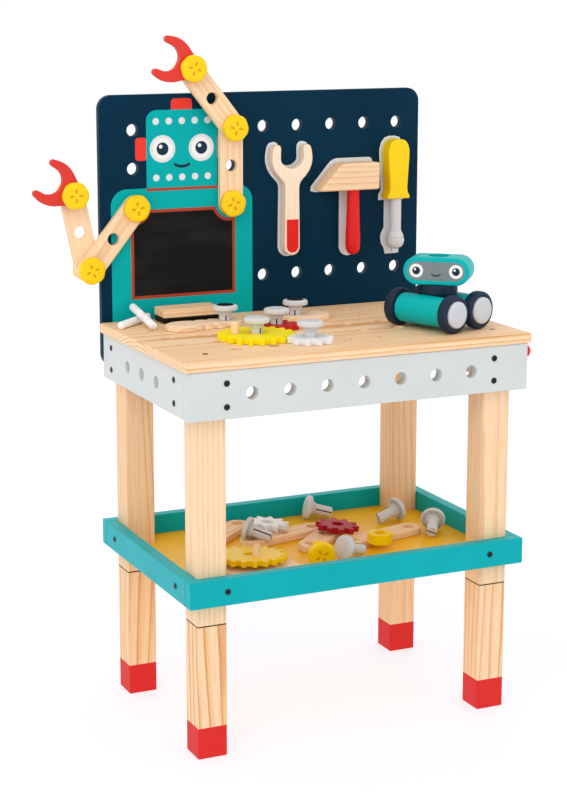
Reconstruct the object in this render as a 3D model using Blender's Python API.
"""Toy workbench with a peg panel, two wooden arms, hanging tools, meshing gears and a robot car.

Every board, leg, bolt, gear, tool and wheel is its own closed solid. All sizes below are in
millimetres in the bench frame: x to the right, y to the back, z up, with the floor at z = 0
and the middle of the four legs at x = y = 0. A parent empty carries the whole toy sideways so
that the world origin lies under the middle of the finished toy's bounding box.
"""

import math

import bmesh
import bpy
from mathutils import Euler, Vector
from mathutils.geometry import delaunay_2d_cdt

MM = 0.001
ORIGIN_SHIFT = (16.5, -1.7)      # moves the toy so the box centre is at x = y = 0
GAP = 0.3                        # air between neighbouring solids

# bench
LEG_X, LEG_Y, LEG_SIDE = 216.2, 139.7, 38.5          # outer faces and section of a leg
FOOT_TOP = 169.5                                     # joint between foot piece and upper leg
BOARD = 15.5                                         # thickness of rails and aprons
APRON_Z = (428.4, 487.4)
RAIL_Z = (197.9, 231.6)
TOP_Z = (487.7, 500.3)
TOP_X, TOP_FRONT = 237.4, 158.0
TRAY_FLOOR_Z = (199.8, 206.0)
PEG_PITCH = 50.0
PEG_RADIUS = 8.0
PEG_SIDES = 12                                       # sides of each drawn peg hole
TOP_GRID = (4.0, 2.5)                                # bench top's hole grid against the legs
APRON_HOLE_Z = 457.5
SIDE_PEG_Y = -65.0

# peg panel
PANEL_FRONT = LEG_Y + GAP
PANEL_BACK = PANEL_FRONT + 11.0
PANEL_X, PANEL_Z, PANEL_CORNER = 233.0, (440.0, 794.5), 18.0
PANEL_ROWS = (749.0, 699.0, 649.0, 549.0)
RIGHT_COLUMNS = (-2.0, 48.0, 98.0, 148.0, 198.0)
LEFT_SHOULDER = (-187.3, 649.0)
RIGHT_SHOULDER = (-52.0, 649.0)

# arms: links of three holes, pinned with big plastic bolts
LINK_HALF, LINK_THICK, LINK_REACH = 16.5, 9.0, 100.0
LAYER = LINK_THICK + GAP
UPPER_FRONT = PANEL_FRONT - LAYER                    # front face of a link against the panel
BOLT_SHANK = 7.7
BOLT_HEAD = 8.0
LEFT_UPPER_DIR, LEFT_FORE_DIR, LEFT_CLAW_DIR = 231.1, 101.7, 148.5
RIGHT_UPPER_DIR, RIGHT_FORE_DIR, RIGHT_CLAW_DIR = 90.0, 128.3, 157.5

# gears on the bench top
MODULE = 2.0 * PEG_PITCH * math.sqrt(2.0) / 30.0
PRESSURE = math.radians(25.0)
GEAR_Z = (TOP_Z[1] + GAP, 508.0)
GEARS = {
    # name: (teeth, profile shift, tip radius, root radius, centre, direction of a tooth)
    "gear_yellow": (20, -0.35, 49.2, 40.9, (-100.0, -50.0), -51.0),
    "gear_white": (10, 0.35, 29.2, 20.7, (-50.0, -100.0), 165.0),
    "gear_red": (10, 0.35, 29.2, 20.7, (-50.0, 0.0), 255.0),
}
CRANK_PEG = (-26.0, 7.0)                             # from the yellow gear's centre

# grey bolts, loose plates and eraser on the bench top
PEG_TIP, PEG_HEAD = 490.4, 521.4                     # a bolt's lower end and its head's underside
PLATE_TOP = 508.2
FELT_TOP, ERASER_TOP = 507.4, 519.0
ERASER_X, ERASER_Y = (-164.3, -85.3), (95.0, 131.0)

# robot car
CAR_AT = (150.9, -67.7)
CAR_HEADING = 200.0                                  # direction it drives, degrees from +x
HEAD_HEADING = 230.0                                 # direction its face points
WHEEL_RADIUS, WHEEL_WIDTH, WHEEL_Z = 24.3, 14.0, 524.9
WHEELBASE, HALF_TRACK = 49.4, 44.7
HEAD_BOTTOM = 557.0

COLOURS = {
    # name: (colour, roughness, metallic)
    "pine": ((0.92, 0.68, 0.42), 0.55, 0.0),
    "pale_paint": ((0.74, 0.78, 0.77), 0.45, 0.0),
    "navy_paint": ((0.012, 0.045, 0.085), 0.45, 0.0),
    "teal_paint": ((0.0, 0.40, 0.40), 0.4, 0.0),
    "red_paint": ((0.80, 0.04, 0.03), 0.4, 0.0),
    "yellow_plastic": ((1.0, 0.70, 0.0), 0.35, 0.0),
    "yellow_paint": ((0.92, 0.48, 0.0), 0.4, 0.0),
    "grey_plastic": ((0.62, 0.62, 0.64), 0.4, 0.0),
    "white_plastic": ((0.86, 0.87, 0.88), 0.35, 0.0),
    "navy_rubber": ((0.010, 0.022, 0.05), 0.5, 0.0),
    "black_felt": ((0.008, 0.008, 0.008), 0.95, 0.0),
}


# ---------------------------------------------------------------- outlines (2D, millimetres)

def arc(centre, radius, start, end, steps):
    """Points along an arc, both ends included; angles in degrees."""
    points = []
    for i in range(steps + 1):
        a = math.radians(start + (end - start) * i / steps)
        points.append((centre[0] + radius * math.cos(a), centre[1] + radius * math.sin(a)))
    return points


def circle(centre, radius, sides):
    return arc(centre, radius, 0.0, 360.0 - 360.0 / sides, sides - 1)


def rectangle(u0, u1, v0, v1):
    return [(u0, v0), (u1, v0), (u1, v1), (u0, v1)]


def rounded_rectangle(u0, u1, v0, v1, radius, steps=3):
    corners = (((u1 - radius, v0 + radius), -90.0), ((u1 - radius, v1 - radius), 0.0),
               ((u0 + radius, v1 - radius), 90.0), ((u0 + radius, v0 + radius), 180.0))
    return [p for centre, a in corners for p in arc(centre, radius, a, a + 90.0, steps)]


def stadium(half_width, reach, steps=9):
    """Bar with round ends whose end centres are at u = 0 and u = reach."""
    return (arc((reach, 0.0), half_width, -90.0, 90.0, steps)
            + arc((0.0, 0.0), half_width, 90.0, 270.0, steps))


def rounded_hexagon(apothem, corner, steps=2):
    """Hexagon with flat top and bottom and rounded corners."""
    inset = (apothem - corner) / math.cos(math.radians(30.0))
    points = []
    for k in range(6):
        a = 60.0 * k
        centre = (inset * math.cos(math.radians(a)), inset * math.sin(math.radians(a)))
        points += arc(centre, corner, a - 30.0, a + 30.0, steps)
    return points


def inset_loop(loop, distance):
    """Moves every edge of a counter-clockwise loop inwards by distance."""
    points = []
    count = len(loop)
    for i in range(count):
        before, here, after = (Vector(loop[(i + k) % count]) for k in (-1, 0, 1))
        d0, d1 = (here - before).normalized(), (after - here).normalized()
        n0, n1 = Vector((-d0.y, d0.x)), Vector((-d1.y, d1.x))
        mitre = (n0 + n1).normalized()
        points.append(tuple(here + mitre * distance / max(0.35, mitre.dot(n0))))
    return points


def turned(loop, degrees, shift=(0.0, 0.0)):
    c, s = math.cos(math.radians(degrees)), math.sin(math.radians(degrees))
    return [(c * u - s * v + shift[0], s * u + c * v + shift[1]) for u, v in loop]


def involute(angle):
    return math.tan(angle) - angle


def gear_outline(teeth, shift, tip, root, backlash=0.15):
    """Involute gear outline with a tooth centred on the u axis."""
    pitch = MODULE * teeth / 2.0
    base = pitch * math.cos(PRESSURE)
    at_pitch = (math.pi / 2.0 + 2.0 * shift * math.tan(PRESSURE)) / teeth - backlash / pitch

    def half_angle(radius):
        return at_pitch + involute(PRESSURE) - involute(math.acos(min(1.0, base / radius)))

    radii = [root, max(base, root + 0.4), pitch, tip]
    flank = [(r, half_angle(max(r, base))) for r in radii]
    points = []
    for k in range(teeth):
        middle = 2.0 * math.pi * k / teeth
        side = [(r, middle - a) for r, a in flank] + [(r, middle + a) for r, a in reversed(flank)]
        points += [(r * math.cos(a), r * math.sin(a)) for r, a in side]
    return points


def claw_outline():
    """Crescent jaw on a round hub; the hub is at the origin and the mouth opens along +u."""
    mouth, mouth_radius, hub = 38.6, 17.6, 16.6
    half = arc((mouth, 0.0), mouth_radius, 180.0, 98.0, 6)
    half += [(40.5, 17.5)] + arc((44.6, 22.5), 4.7, -85.0, 85.0, 5)
    half += [(38.5, 28.7), (31.5, 29.2), (24.0, 28.5), (16.4, 25.7), (10.6, 21.9), (6.6, 18.6)]
    half += arc((0.0, 0.0), hub, 76.0, 180.0, 5)
    return half + [(u, -v) for u, v in reversed(half[1:-1])]


def counter_clockwise(loop):
    area = sum(a[0] * b[1] - a[1] * b[0] for a, b in zip(loop, loop[1:] + loop[:1]))
    return loop if area > 0.0 else loop[::-1]


# ---------------------------------------------------------------- solids

AXES = {"X": (1, 2, 0), "Y": (0, 2, 1), "Z": (0, 1, 2)}      # where u, v and depth go


def place_point(axis, u, v, depth):
    point = [0.0, 0.0, 0.0]
    for slot, value in zip(AXES[axis], (u, v, depth)):
        point[slot] = value * MM
    return point


def inside(point, loop):
    """Whether a 2D point lies inside a closed loop."""
    result = False
    for (u0, v0), (u1, v1) in zip(loop, loop[1:] + loop[:1]):
        if (v0 > point[1]) != (v1 > point[1]):
            if point[0] < u0 + (u1 - u0) * (point[1] - v0) / (v1 - v0):
                result = not result
    return result


def fill(bm, loops):
    """Triangulated flat cap between rings of vertices; the first ring is the outer one."""
    verts = [v for ring in loops for v, _ in ring]
    points = [Vector(p) for ring in loops for _, p in ring]
    edges, start = [], 0
    for ring in loops:
        count = len(ring)
        edges += [(start + i, start + (i + 1) % count) for i in range(count)]
        start += count
    result = delaunay_2d_cdt(points, edges, [], 1, 1e-6)
    source = [ids[0] for ids in result[3]]
    holes = [[p for _, p in ring] for ring in loops[1:]]
    for face in result[2]:
        corners = [points[source[i]] for i in face]
        middle = sum(corners, Vector((0.0, 0.0))) / len(corners)
        if not any(inside(middle, hole) for hole in holes):
            bm.faces.new([verts[source[i]] for i in face])


def add_ring(bm, axis, loop, depth):
    return [(bm.verts.new(place_point(axis, u, v, depth)), (u, v)) for u, v in loop]


def join_rings(bm, first, second):
    count = len(first)
    for i in range(count):
        j = (i + 1) % count
        bm.faces.new((first[i][0], first[j][0], second[j][0], second[i][0]))


def slab(outline, low, high, axis="Z", holes=(), edge=0.8):
    """Flat board: an outline with holes, chamfered round its outer edge."""
    bm = bmesh.new()
    outer = counter_clockwise(list(outline))
    if edge:
        small = inset_loop(outer, edge)
        steps = [(small, low), (outer, low + edge), (outer, high - edge), (small, high)]
    else:
        steps = [(outer, low), (outer, high)]
    rings = [add_ring(bm, axis, loop, depth) for loop, depth in steps]
    for a, b in zip(rings, rings[1:]):
        join_rings(bm, a, b)
    bores = [[add_ring(bm, axis, hole, depth) for depth in (low, high)] for hole in holes]
    for a, b in bores:
        join_rings(bm, a, b)
    fill(bm, [rings[0]] + [b[0] for b in bores])
    fill(bm, [rings[-1]] + [b[1] for b in bores])
    return bm


def box(x0, x1, y0, y1, z0, z1, edge=1.2):
    return slab(rectangle(x0, x1, y0, y1), z0, z1, "Z", edge=edge)


def spindle(profile, axis="Z", sides=24, centre=(0.0, 0.0)):
    """Turned solid: profile is a list of (radius, depth); both ends are closed flat."""
    return loft([(circle(centre, radius, sides), depth) for radius, depth in profile], axis)


def loft(sections, axis="Z", recess=None):
    """Stacks equal-count loops; recess is an optional (loop, depth) sunk in the last one."""
    bm = bmesh.new()
    rings = [add_ring(bm, axis, loop, depth) for loop, depth in sections]
    for a, b in zip(rings, rings[1:]):
        join_rings(bm, a, b)
    fill(bm, [rings[0]])
    if recess is None:
        fill(bm, [rings[-1]])
        return bm
    loop, depth = recess
    mouth = add_ring(bm, axis, loop, sections[-1][1])
    floor = add_ring(bm, axis, loop, depth)
    fill(bm, [rings[-1], mouth])
    join_rings(bm, mouth, floor)
    fill(bm, [floor])
    return bm


# ---------------------------------------------------------------- objects

ROOT = None


def clear_scene():
    for obj in list(bpy.data.objects):
        bpy.data.objects.remove(obj, do_unlink=True)


def material_for(node, look):
    colour, roughness, metallic = COLOURS[look]
    material = bpy.data.materials.new(node + "_" + look)
    material.use_nodes = True
    shader = material.node_tree.nodes["Principled BSDF"]
    shader.inputs["Base Color"].default_value = (*colour, 1.0)
    shader.inputs["Roughness"].default_value = roughness
    shader.inputs["Metallic"].default_value = metallic
    material.diffuse_color = (*colour, 1.0)
    return material


def add_node(name, bm, look, at=(0.0, 0.0, 0.0), turn=(0.0, 0.0, 0.0)):
    bmesh.ops.remove_doubles(bm, verts=bm.verts, dist=0.000001)
    bmesh.ops.recalc_face_normals(bm, faces=bm.faces)
    mesh = bpy.data.meshes.new(name)
    bm.to_mesh(mesh)
    bm.free()
    obj = bpy.data.objects.new(name, mesh)
    bpy.context.collection.objects.link(obj)
    obj.data.materials.append(material_for(name, look))
    obj.parent = ROOT
    obj.location = Vector(at) * MM
    obj.rotation_euler = Euler([math.radians(a) for a in turn])
    return obj


def make_root():
    empty = bpy.data.objects.new("bench_origin", None)
    bpy.context.collection.objects.link(empty)
    empty.location = (ORIGIN_SHIFT[0] * MM, ORIGIN_SHIFT[1] * MM, 0.0)
    return empty


# ---------------------------------------------------------------- bench frame

def build_legs():
    inner_x, inner_y = LEG_X - LEG_SIDE, LEG_Y - LEG_SIDE
    for side, sx in (("left", -1.0), ("right", 1.0)):
        for end, sy in (("front", -1.0), ("back", 1.0)):
            x0, x1 = sorted((sx * inner_x, sx * LEG_X))
            y0, y1 = sorted((sy * inner_y, sy * LEG_Y))
            add_node("leg_%s_%s" % (end, side),
                     box(x0, x1, y0, y1, FOOT_TOP + GAP, APRON_Z[1]), "pine")
            add_node("foot_%s_%s" % (end, side),
                     box(x0, x1, y0, y1, 0.0, FOOT_TOP), "pine")


def build_aprons():
    outer_x = LEG_X + GAP + BOARD
    front = (-(LEG_Y + GAP + BOARD), -(LEG_Y + GAP))
    holes = [circle((-150.0 + PEG_PITCH * i, APRON_HOLE_Z), PEG_RADIUS, PEG_SIDES) for i in range(7)]
    add_node("apron_front", slab(rectangle(-outer_x, outer_x, *APRON_Z), front[0], front[1],
                                 "Y", holes), "pale_paint")
    for side, x0 in (("left", -outer_x), ("right", LEG_X + GAP)):
        places = [-50.0, 0.0, 50.0] if side == "left" else [SIDE_PEG_Y, -15.0, 35.0]
        holes = [circle((y, APRON_HOLE_Z), PEG_RADIUS, PEG_SIDES) for y in places]
        add_node("apron_" + side, slab(rectangle(-LEG_Y, LEG_Y, *APRON_Z), x0, x0 + BOARD,
                                       "X", holes), "pale_paint")


def build_side_peg():
    """Round-ended red peg standing in a hole of the right apron."""
    inner = LEG_X + GAP - 3.0
    profile = [(6.7, inner), (7.7, inner + 1.0), (7.7, inner + 59.8), (7.0, inner + 61.8)]
    ball, centre = 9.6, inner + 69.1
    profile += [(ball * math.sin(math.radians(a)), centre - ball * math.cos(math.radians(a)))
                for a in (55.0, 90.0, 120.0, 145.0, 165.0)]
    add_node("side_peg", spindle(profile, "X", 16), "red_paint",
             at=(0.0, SIDE_PEG_Y, APRON_HOLE_Z))


def top_holes():
    """Grid of peg holes in the bench top; the corners over the legs have none."""
    places = []
    for i in range(-4, 5):
        for j in range(-2, 3):
            if abs(i) == 4 and abs(j) == 2:
                continue
            places.append((PEG_PITCH * i + TOP_GRID[0], PEG_PITCH * j + TOP_GRID[1]))
    return places


def build_top():
    holes = [circle(p, PEG_RADIUS, PEG_SIDES) for p in top_holes()]
    outline = rounded_rectangle(-TOP_X, TOP_X, -TOP_FRONT, LEG_Y, 4.0, 2)
    add_node("bench_top", slab(outline, *TOP_Z, "Z", holes, edge=1.8), "pine")


def build_tray():
    outer_x, outer_y = LEG_X + GAP + BOARD, LEG_Y + GAP + BOARD
    for name, y0 in (("tray_rail_front", -outer_y), ("tray_rail_back", LEG_Y + GAP)):
        add_node(name, slab(rectangle(-outer_x, outer_x, *RAIL_Z), y0, y0 + BOARD, "Y",
                            edge=1.5), "teal_paint")
    for name, x0 in (("tray_rail_left", -outer_x), ("tray_rail_right", LEG_X + GAP)):
        add_node(name, slab(rectangle(-LEG_Y, LEG_Y, *RAIL_Z), x0, x0 + BOARD, "X",
                            edge=1.5), "teal_paint")
    nx, ny = LEG_X - LEG_SIDE - GAP, LEG_Y - LEG_SIDE - GAP
    outline = [(-nx, -LEG_Y), (nx, -LEG_Y), (nx, -ny), (LEG_X, -ny), (LEG_X, ny), (nx, ny),
               (nx, LEG_Y), (-nx, LEG_Y), (-nx, ny), (-LEG_X, ny), (-LEG_X, -ny), (-nx, -ny)]
    add_node("tray_floor", slab(outline, *TRAY_FLOOR_Z, "Z", edge=0.0), "yellow_paint")


def panel_holes():
    places = [(x, z) for z in (PANEL_ROWS[0], PANEL_ROWS[3]) for x in RIGHT_COLUMNS]
    places += [(LEFT_SHOULDER[0], z) for z in PANEL_ROWS[:3]]
    places += [(RIGHT_SHOULDER[0], z) for z in PANEL_ROWS[:3]]
    return places


def build_panel():
    outline = rounded_rectangle(-PANEL_X, PANEL_X, *PANEL_Z, PANEL_CORNER, 5)
    holes = [circle(p, PEG_RADIUS, PEG_SIDES) for p in panel_holes()]
    add_node("peg_panel", slab(outline, PANEL_FRONT, PANEL_BACK, "Y", holes, edge=1.2),
             "navy_paint")


# ---------------------------------------------------------------- arms

def along(start, degrees, reach=LINK_REACH):
    return (start[0] + reach * math.cos(math.radians(degrees)),
            start[1] + reach * math.sin(math.radians(degrees)))


def add_link(name, pivot, degrees, front):
    holes = [circle((reach, 0.0), PEG_RADIUS, PEG_SIDES) for reach in (0.0, 50.0, 100.0)]
    add_node(name, slab(stadium(LINK_HALF, LINK_REACH, 7), 0.0, LINK_THICK, "Y", holes),
             "pine", at=(pivot[0], front, pivot[1]), turn=(0.0, -degrees, 0.0))


def add_claw(name, pivot, degrees, front):
    hole = circle((0.0, 0.0), PEG_RADIUS, PEG_SIDES)
    add_node(name, slab(claw_outline(), 0.0, LINK_THICK, "Y", [hole]), "red_paint",
             at=(pivot[0], front, pivot[1]), turn=(0.0, -degrees, 0.0))


def cross_loop(arm=6.6, half=1.5):
    """Outline of a cross-shaped driver slot."""
    quarter = [(arm, -half), (arm, half), (half, half)]
    return [p for k in range(4) for p in turned(quarter, 90.0 * k)]


def add_big_bolt(name, pivot, front, length, turn):
    """Bolt with a rounded hexagonal head; front is where the clamped pieces begin."""
    shank = circle((0.0, 0.0), BOLT_SHANK, 18)
    sections = [(circle((0.0, 0.0), BOLT_SHANK - 1.0, 18), length),
                (shank, length - 1.2), (shank, 0.0),
                (rounded_hexagon(16.2, 9.0), 0.0), (rounded_hexagon(17.2, 10.0), -1.2),
                (rounded_hexagon(17.2, 10.0), 1.8 - BOLT_HEAD),
                (rounded_hexagon(15.0, 8.0), -BOLT_HEAD)]
    body = loft(sections, "Y", recess=(cross_loop(), 1.6 - BOLT_HEAD))
    add_node(name, body, "yellow_plastic", at=(pivot[0], front - GAP, pivot[1]),
             turn=(0.0, turn, 0.0))


def build_left_arm():
    """Upper link against the panel; the forearm is behind it, beside the panel's edge."""
    elbow = along(LEFT_SHOULDER, LEFT_UPPER_DIR)
    wrist = along(elbow, LEFT_FORE_DIR)
    add_link("left_upper_arm", LEFT_SHOULDER, LEFT_UPPER_DIR, UPPER_FRONT)
    add_link("left_forearm", elbow, LEFT_FORE_DIR, UPPER_FRONT + LAYER)
    add_claw("left_claw", wrist, LEFT_CLAW_DIR, UPPER_FRONT)
    add_big_bolt("left_shoulder_bolt", LEFT_SHOULDER, UPPER_FRONT, 31.0, 8.0)
    add_big_bolt("left_elbow_bolt", elbow, UPPER_FRONT, 29.0, 20.0)
    add_big_bolt("left_wrist_bolt", wrist, UPPER_FRONT, 29.0, 3.0)


def build_right_arm():
    """Upper link pinned at both ends to the panel; forearm and claw are stacked in front."""
    elbow = along(RIGHT_SHOULDER, RIGHT_UPPER_DIR)
    wrist = along(elbow, RIGHT_FORE_DIR)
    add_link("right_upper_arm", RIGHT_SHOULDER, RIGHT_UPPER_DIR, UPPER_FRONT)
    add_link("right_forearm", elbow, RIGHT_FORE_DIR, UPPER_FRONT - LAYER)
    add_claw("right_claw", wrist, RIGHT_CLAW_DIR, UPPER_FRONT - 2.0 * LAYER)
    add_big_bolt("right_shoulder_bolt", RIGHT_SHOULDER, UPPER_FRONT, 31.0, 14.0)
    add_big_bolt("right_elbow_bolt", elbow, UPPER_FRONT - LAYER, 40.0, -10.0)
    add_big_bolt("right_wrist_bolt", wrist, UPPER_FRONT - 2.0 * LAYER, 26.5, -16.0)


# ---------------------------------------------------------------- tools on the panel

WRENCH_X, WRENCH_BACK, WRENCH_THICK = 33.2, PANEL_FRONT - 2.4, 15.0
HAMMER_BACK, HAMMER_THICK = PANEL_FRONT - 2.4, 27.0
DRIVER_X, DRIVER_BACK, DRIVER_THICK = 191.6, PANEL_FRONT - 1.6, 22.0


def wrench_outline():
    right = [(11.2, 588.0), (10.8, 630.0), (10.3, 664.0), (10.6, 670.0), (13.2, 675.2),
             (19.0, 681.2), (24.6, 688.4), (28.4, 696.6), (29.7, 705.0), (29.2, 714.0),
             (27.2, 720.6), (24.4, 723.6), (18.6, 723.6), (16.6, 720.6), (16.6, 702.6)]
    bottom = arc((0.0, 586.6), 11.2, 180.0, 360.0, 10)
    left = [(-u, v) for u, v in reversed(right)]
    return [(u + WRENCH_X, v) for u, v in bottom + right + [(0.0, 691.6)] + left]


def build_wrench():
    front = WRENCH_BACK - WRENCH_THICK
    add_node("wrench", slab(wrench_outline(), front, WRENCH_BACK, "Y", edge=1.2), "pine")


def build_hammer():
    """Wedge-ended wooden head on a round, slightly swelling handle."""
    front = HAMMER_BACK - HAMMER_THICK
    outline = [(74.0, 660.4), (157.0, 660.4), (158.4, 661.8), (158.4, 695.6), (157.0, 697.0),
               (108.0, 697.0), (102.0, 696.0), (96.4, 692.6), (72.6, 664.6), (71.8, 662.2)]
    add_node("hammer_head", slab(outline, front, HAMMER_BACK, "Y", edge=1.2), "pine")
    profile = [(8.2, 660.1), (8.8, 640.0), (10.2, 592.0), (10.0, 580.0), (7.6, 573.8),
               (3.8, 571.4)]
    add_node("hammer_handle", spindle(profile, "Z", 18), "red_paint",
             at=(124.6, HAMMER_BACK - HAMMER_THICK / 2.0, 0.0))


def build_screwdriver():
    right = [(16.8, 645.2), (16.8, 649.0), (13.6, 654.0), (13.2, 660.0), (14.4, 680.0),
             (15.9, 704.0), (15.8, 712.0), (13.6, 719.6), (9.4, 724.6), (4.4, 726.2)]
    outline = [(u + DRIVER_X, v) for u, v in
               right + [(-u, v) for u, v in reversed(right)]]
    front = DRIVER_BACK - DRIVER_THICK
    add_node("screwdriver_handle", slab(outline, front, DRIVER_BACK, "Y", edge=1.6),
             "yellow_plastic")
    profile = [(8.0, 644.9), (8.0, 601.0), (10.6, 597.0), (12.6, 590.0), (12.6, 587.0),
               (10.6, 580.6), (5.6, 576.8), (4.4, 576.0), (4.4, 569.6)]
    add_node("screwdriver_shaft", spindle(profile, "Z", 16), "grey_plastic",
             at=(DRIVER_X, DRIVER_BACK - DRIVER_THICK / 2.0, 0.0))


# ---------------------------------------------------------------- gears and loose plates

def on_grid(point):
    return (point[0] + TOP_GRID[0], point[1] + TOP_GRID[1])


def add_peg_bolt(name, point):
    """Grey bolt: shank down into the bench top, wider shoulder, mushroom head."""
    neck = PEG_HEAD - 6.3
    profile = [(6.6, PEG_TIP), (7.4, PEG_TIP + 1.0), (7.4, neck), (9.1, neck + 0.4)]
    profile += [(radius, PEG_HEAD + rise) for radius, rise in (
        (9.1, 0.0), (15.4, 0.0), (16.4, 1.0), (16.4, 4.4), (15.2, 6.0), (11.5, 6.8))]
    add_node(name, spindle(profile, "Z", 16), "grey_plastic", at=(point[0], point[1], 0.0))


def build_gears():
    looks = {"gear_yellow": "yellow_plastic", "gear_white": "white_plastic",
             "gear_red": "red_paint"}
    for name, (teeth, shift, tip, root, centre, tooth) in GEARS.items():
        outline = turned(gear_outline(teeth, shift, tip, root), tooth)
        bore = circle((0.0, 0.0), PEG_RADIUS, PEG_SIDES)
        place = on_grid(centre)
        add_node(name, slab(outline, *GEAR_Z, "Z", [bore], edge=0.0), looks[name],
                 at=(place[0], place[1], 0.0))
        add_peg_bolt("bolt_" + name, place)
    centre = on_grid(GEARS["gear_yellow"][4])
    profile = [(5.0, GEAR_Z[1] + GAP), (5.0, 520.5), (4.2, 521.9), (2.2, 522.7)]
    add_node("crank_peg", spindle(profile, "Z", 12), "pine",
             at=(centre[0] + CRANK_PEG[0], centre[1] + CRANK_PEG[1], 0.0))


def saw_outline():
    """Flat wooden piece: oval grip, shank edged with stepped waves; its hole is at the origin."""
    grip = [(-57.0 + 26.3 * math.cos(math.radians(a)), 19.6 * math.sin(math.radians(a)))
            for a in range(40, 321, 20)]
    waves = []
    for u in (-36.2, -17.9, 0.4):
        waves += [(u, 15.8), (u + 2.4, 17.2), (u + 8.6, 16.2), (u + 16.6, 12.8)]
    nose = [(19.6, -8.0), (20.6, 0.0), (19.6, 8.0)]
    return grip + [(u, -v) for u, v in waves] + nose + waves[::-1]


def build_loose_plates():
    level = TOP_Z[1] + GAP
    bore = circle((0.0, 0.0), PEG_RADIUS, PEG_SIDES)
    for name, outline, grid_hole, degrees in (
            ("wooden_saw", saw_outline(), (-100.0, 50.0), 4.0),
            ("short_link", stadium(19.0, 27.0, 8), (0.0, 50.0), -10.0)):
        place = on_grid(grid_hole)
        add_node(name, slab(outline, level, PLATE_TOP, "Z", [bore]), "pine",
                 at=(*place, 0.0), turn=(0.0, 0.0, degrees))
        add_peg_bolt("bolt_" + name, place)


def build_eraser():
    outline = rounded_rectangle(*ERASER_X, *ERASER_Y, 2.0, 2)
    add_node("eraser_felt", slab(outline, TOP_Z[1] + GAP, FELT_TOP, "Z", edge=0.0),
             "black_felt")
    add_node("eraser_block", slab(outline, FELT_TOP + GAP, ERASER_TOP, "Z", edge=1.2), "pine")


# ---------------------------------------------------------------- robot car

def car_point(forward, sideways):
    """Bench coordinates of a point in the car's own frame."""
    c, s = math.cos(math.radians(CAR_HEADING)), math.sin(math.radians(CAR_HEADING))
    return (CAR_AT[0] + forward * c - sideways * s, CAR_AT[1] + forward * s + sideways * c)


def chassis_outline(radius=19.0, web=7.0):
    """Side view of two round beams joined by a web."""
    half = WHEELBASE / 2.0
    join = math.degrees(math.asin(web / radius))
    right = arc((half, 0.0), radius, 180.0 + join, 540.0 - join, 14)
    left = arc((-half, 0.0), radius, join, 360.0 - join, 14)
    return right + left


def build_car():
    turn = (0.0, 0.0, CAR_HEADING)
    reach = HALF_TRACK - WHEEL_WIDTH / 2.0 - GAP
    add_node("car_chassis", slab(chassis_outline(), -reach, reach, "Y", edge=1.0),
             "teal_paint", at=(*CAR_AT, WHEEL_Z), turn=turn)
    top = WHEEL_Z + 19.0 + GAP
    add_node("car_neck", spindle([(24.5, top), (24.5, HEAD_BOTTOM - GAP)], "Z", 32), "navy_paint",
             at=(*CAR_AT, 0.0))
    build_car_head()
    for side, sy in (("left", 1.0), ("right", -1.0)):
        for end, sx in (("front", 1.0), ("rear", -1.0)):
            centre = car_point(sx * WHEELBASE / 2.0, sy * HALF_TRACK)
            build_wheel("%s_%s" % (end, side), centre, turn, sy)


def build_car_head():
    """Stadium-shaped head with a shallow round recess in its top."""
    half_height, half_width, depth = 18.0, 43.0, 40.0
    centre_z = HEAD_BOTTOM + half_height
    outline = turned(stadium(half_height, 2.0 * (half_width - half_height), 8), 0.0,
                     (-(half_width - half_height), 0.0))
    head = add_node("car_head", slab(outline, -depth / 2.0, depth / 2.0, "Y", edge=2.4),
                    "teal_paint", at=(*CAR_AT, centre_z), turn=(0.0, 0.0, HEAD_HEADING + 90.0))
    cutter = add_node("recess_cutter", spindle([(14.0, 13.5), (14.0, 30.0)], "Z", 24),
                      "teal_paint", at=(*CAR_AT, centre_z))
    cutter.hide_render = True
    cutter.display_type = "WIRE"
    cut = head.modifiers.new("recess", "BOOLEAN")
    cut.operation = "DIFFERENCE"
    cut.solver = "EXACT"
    cut.object = cutter


def build_wheel(name, centre, turn, side):
    """Tyre with a stepped-in face, and a round cap sitting in the step."""
    inner, outer = -WHEEL_WIDTH / 2.0 * side, WHEEL_WIDTH / 2.0 * side
    profile = [(22.4, inner), (WHEEL_RADIUS, inner + 2.0 * side),
               (WHEEL_RADIUS, outer - 3.0 * side), (21.6, outer), (18.1, outer),
               (18.1, outer - 2.0 * side)]
    add_node("wheel_" + name, spindle(profile, "Y", 24), "navy_rubber",
             at=(*centre, WHEEL_Z), turn=turn)
    cap = [(17.3, outer - (2.0 - GAP) * side), (17.3, outer + 2.4 * side),
           (15.7, outer + 3.6 * side)]
    add_node("cap_" + name, spindle(cap, "Y", 20), "grey_plastic",
             at=(*centre, WHEEL_Z), turn=turn)


def build():
    global ROOT
    clear_scene()
    ROOT = make_root()
    build_legs()
    build_aprons()
    build_side_peg()
    build_top()
    build_tray()
    build_panel()
    build_left_arm()
    build_right_arm()
    build_wrench()
    build_hammer()
    build_screwdriver()
    build_gears()
    build_loose_plates()
    build_eraser()
    build_car()


build()
